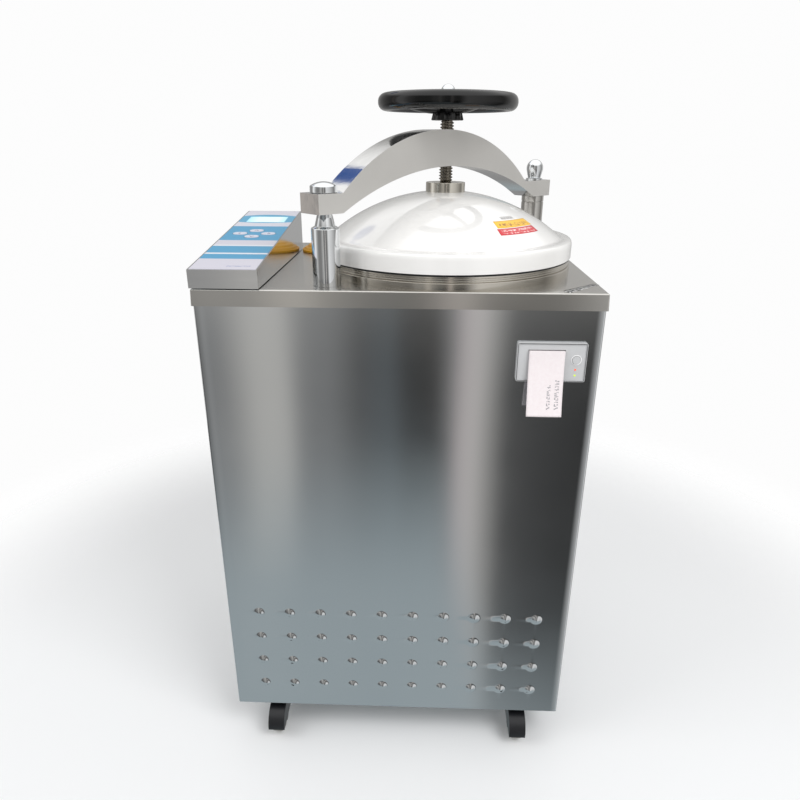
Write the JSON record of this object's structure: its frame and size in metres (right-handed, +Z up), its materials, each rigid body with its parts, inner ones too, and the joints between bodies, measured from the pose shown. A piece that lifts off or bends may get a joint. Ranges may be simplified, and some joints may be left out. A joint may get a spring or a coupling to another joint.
{
  "type": "vertical steam autoclave",
  "caption": "Top-loading steam autoclave in a castored steel cabinet, with a handwheel screw lid on a swing-away arched yoke, sloping control box and panel printer.",
  "frame": {"origin": "on the floor below the middle of the plan", "axes": "+Z up, +X to the operator's right, -Y towards the operator at the front"},
  "size_m": [0.66, 0.544, 1.256],
  "materials": {
    "worktop_steel": "brushed stainless sheet, straight grain along X",
    "panel_steel": "brushed stainless sheet, vertical grain",
    "turned_steel": "turned stainless, fine rings",
    "vessel_steel": "rolled stainless, satin",
    "yoke_steel": "bead-blasted faces, polished edges",
    "chrome": "polished chrome plate",
    "nickel": "turned nickel plate",
    "screw_steel": "cut and greased thread",
    "bronze": "machined bronze",
    "brass_fitting": "machined brass",
    "white_enamel": "glossy baked enamel",
    "black_bakelite": "glossy moulded phenolic",
    "black_silicone": "matt moulded silicone",
    "panel_film": "printed polyester film",
    "key_film": "embossed polyester film",
    "display_glass": "lit liquid crystal display",
    "circuit_board": "solder mask",
    "printer_grey": "fine satin moulding",
    "dark_plastic": "fine spark texture",
    "thermal_paper": "smooth coated paper",
    "yellow_plastic": "glossy moulding",
    "tank_plastic": "blow-moulded polyethylene",
    "jacket_wool": "needled glass-fibre blanket",
    "red_grip": "dipped vinyl",
    "element_sheath": "annealed sheath",
    "castor_black": "moulded nylon",
    "castor_tyre": "worn grey rubber",
    "frame_steel": "primer-painted plate"
  },
  "bodies": {
    "cabinet": {"base_tray": "vessel_steel", "cabinet_wrap": "panel_steel", "rear_panel": "panel_steel", "panel_screws": "chrome", "deck_plate": "worktop_steel", "chamber_shell": "vessel_steel", "chamber_legs": "frame_steel", "chamber_flange": "turned_steel", "collar_trim": "turned_steel", "yoke_plate": "frame_steel", "insulation_jacket": "jacket_wool", "heating_element": "element_sheath", "element_guard": "vessel_steel", "lower_basket": "vessel_steel", "upper_basket": "vessel_steel", "pipework": "vessel_steel", "pivot_post": "chrome", "lock_post": "turned_steel", "pivot_cap": "chrome", "control_housing": "worktop_steel", "control_overlay": "panel_film", "display_window": "display_glass", "control_board": "circuit_board", "printer_bezel": "printer_grey", "printer_body": "dark_plastic", "paper_strip": "thermal_paper", "switch_housing": "dark_plastic", "water_tank": "tank_plastic", "drain_valve": "brass_fitting", "safety_valve": "brass_fitting", "cable_gland": "dark_plastic", "castor_plates": "frame_steel"},
    "yoke": {"yoke_beam": "yoke_steel", "screw_nut": "bronze"},
    "lid": {"lid_shell": "white_enamel", "lid_dish": "vessel_steel", "lid_gasket": "black_silicone", "screw_seat": "nickel"},
    "wheel": {"lift_screw": "screw_steel", "handwheel": "black_bakelite", "wheel_nut": "chrome"},
    "clamp_washer": {"lock_washer": "black_silicone"},
    "clamp_knob": {"lock_knob": "chrome"},
    "up_key": {"key_up": "key_film"},
    "down_key": {"key_down": "key_film"},
    "left_key": {"key_left": "key_film"},
    "right_key": {"key_right": "key_film"},
    "feed_button": {"printer_button": "printer_grey"},
    "roll": {"paper_roll": "thermal_paper"},
    "rocker": {"power_rocker": "dark_plastic"},
    "cap": {"filler_cap": "yellow_plastic"},
    "drain_lever": {"drain_handle": "red_grip"},
    "castor_front_left": {"castor_fork_front_left": "castor_black"},
    "wheel_front_left": {"castor_wheel_front_left": "castor_tyre"},
    "castor_front_right": {"castor_fork_front_right": "castor_black"},
    "wheel_front_right": {"castor_wheel_front_right": "castor_tyre"},
    "castor_rear_left": {"castor_fork_rear_left": "castor_black"},
    "wheel_rear_left": {"castor_wheel_rear_left": "castor_tyre"},
    "castor_rear_right": {"castor_fork_rear_right": "castor_black"},
    "wheel_rear_right": {"castor_wheel_rear_right": "castor_tyre"}
  },
  "joints": [
    {"name": "yoke_swing", "type": "hinge", "parent": "cabinet", "child": "yoke", "pos_m": [-0.117, -0.203, 1.075], "axis": [0, 0, 1], "range_deg": [-120, 0]},
    {"name": "lid_lift", "type": "slide", "parent": "yoke", "child": "lid", "axis": [0, 0, 1], "range_m": [0, 0.02]},
    {"name": "handwheel_turn", "type": "hinge", "parent": "lid", "child": "wheel", "pos_m": [0.077, -0.012, 1.147], "axis": [0, 0, 1], "range_deg": [0, 1440]},
    {"name": "clamp_lift", "type": "slide", "parent": "cabinet", "child": "clamp_washer", "axis": [0, 0, 1], "range_m": [0, 0.004]},
    {"name": "clamp_knob_turn", "type": "hinge", "parent": "clamp_washer", "child": "clamp_knob", "pos_m": [0.26566, 0.17375, 1.107], "axis": [0, 0, 1], "range_deg": [0, 720]},
    {"name": "up_key_press", "type": "slide", "parent": "cabinet", "child": "up_key", "axis": [0, 0.1144, -0.9934], "range_m": [0, 0.0005], "stiffness_N_per_m": 600, "springref_m": -0.0004},
    {"name": "down_key_press", "type": "slide", "parent": "cabinet", "child": "down_key", "axis": [0, 0.1144, -0.9934], "range_m": [0, 0.0005], "stiffness_N_per_m": 600, "springref_m": -0.0004},
    {"name": "left_key_press", "type": "slide", "parent": "cabinet", "child": "left_key", "axis": [0, 0.1144, -0.9934], "range_m": [0, 0.0005], "stiffness_N_per_m": 600, "springref_m": -0.0004},
    {"name": "right_key_press", "type": "slide", "parent": "cabinet", "child": "right_key", "axis": [0, 0.1144, -0.9934], "range_m": [0, 0.0005], "stiffness_N_per_m": 600, "springref_m": -0.0004},
    {"name": "feed_button_press", "type": "slide", "parent": "cabinet", "child": "feed_button", "axis": [0, 1, 0], "range_m": [0, 0.0015], "stiffness_N_per_m": 400, "springref_m": -0.001},
    {"name": "roll_spin", "type": "hinge", "parent": "cabinet", "child": "roll", "pos_m": [0.23935, -0.225, 0.834], "axis": [1, 0, 0], "continuous": true},
    {"name": "rocker_tilt", "type": "hinge", "parent": "cabinet", "child": "rocker", "pos_m": [-0.321, -0.17, 0.879], "axis": [0, 1, 0], "range_deg": [0, 16]},
    {"name": "cap_turn", "type": "hinge", "parent": "cabinet", "child": "cap", "pos_m": [-0.167, 0.136, 0.955], "axis": [0, 0, 1], "range_deg": [0, 90]},
    {"name": "drain_lever_turn", "type": "hinge", "parent": "cabinet", "child": "drain_lever", "pos_m": [0.11, 0.25, 0.2], "axis": [0, 1, 0], "range_deg": [0, 90]},
    {"name": "swivel_front_left", "type": "hinge", "parent": "cabinet", "child": "castor_front_left", "pos_m": [-0.249, -0.208, 0.072], "axis": [0, 0, 1], "continuous": true},
    {"name": "roll_front_left", "type": "hinge", "parent": "castor_front_left", "child": "wheel_front_left", "pos_m": [-0.249, -0.23, 0.03], "axis": [1, 0, 0], "continuous": true},
    {"name": "swivel_front_right", "type": "hinge", "parent": "cabinet", "child": "castor_front_right", "pos_m": [0.249, -0.208, 0.072], "axis": [0, 0, 1], "continuous": true},
    {"name": "roll_front_right", "type": "hinge", "parent": "castor_front_right", "child": "wheel_front_right", "pos_m": [0.249, -0.23, 0.03], "axis": [1, 0, 0], "continuous": true},
    {"name": "swivel_rear_left", "type": "hinge", "parent": "cabinet", "child": "castor_rear_left", "pos_m": [-0.249, 0.208, 0.072], "axis": [0, 0, 1], "continuous": true},
    {"name": "roll_rear_left", "type": "hinge", "parent": "castor_rear_left", "child": "wheel_rear_left", "pos_m": [-0.249, 0.23, 0.03], "axis": [1, 0, 0], "continuous": true},
    {"name": "swivel_rear_right", "type": "hinge", "parent": "cabinet", "child": "castor_rear_right", "pos_m": [0.249, 0.208, 0.072], "axis": [0, 0, 1], "continuous": true},
    {"name": "roll_rear_right", "type": "hinge", "parent": "castor_rear_right", "child": "wheel_rear_right", "pos_m": [0.249, 0.23, 0.03], "axis": [1, 0, 0], "continuous": true}
  ],
  "couplings": [
    {"joint": "lid_lift", "follows": "handwheel_turn", "m_per_rad": 0.00079577},
    {"joint": "clamp_lift", "follows": "clamp_knob_turn", "m_per_rad": 0.00031831}
  ]
}
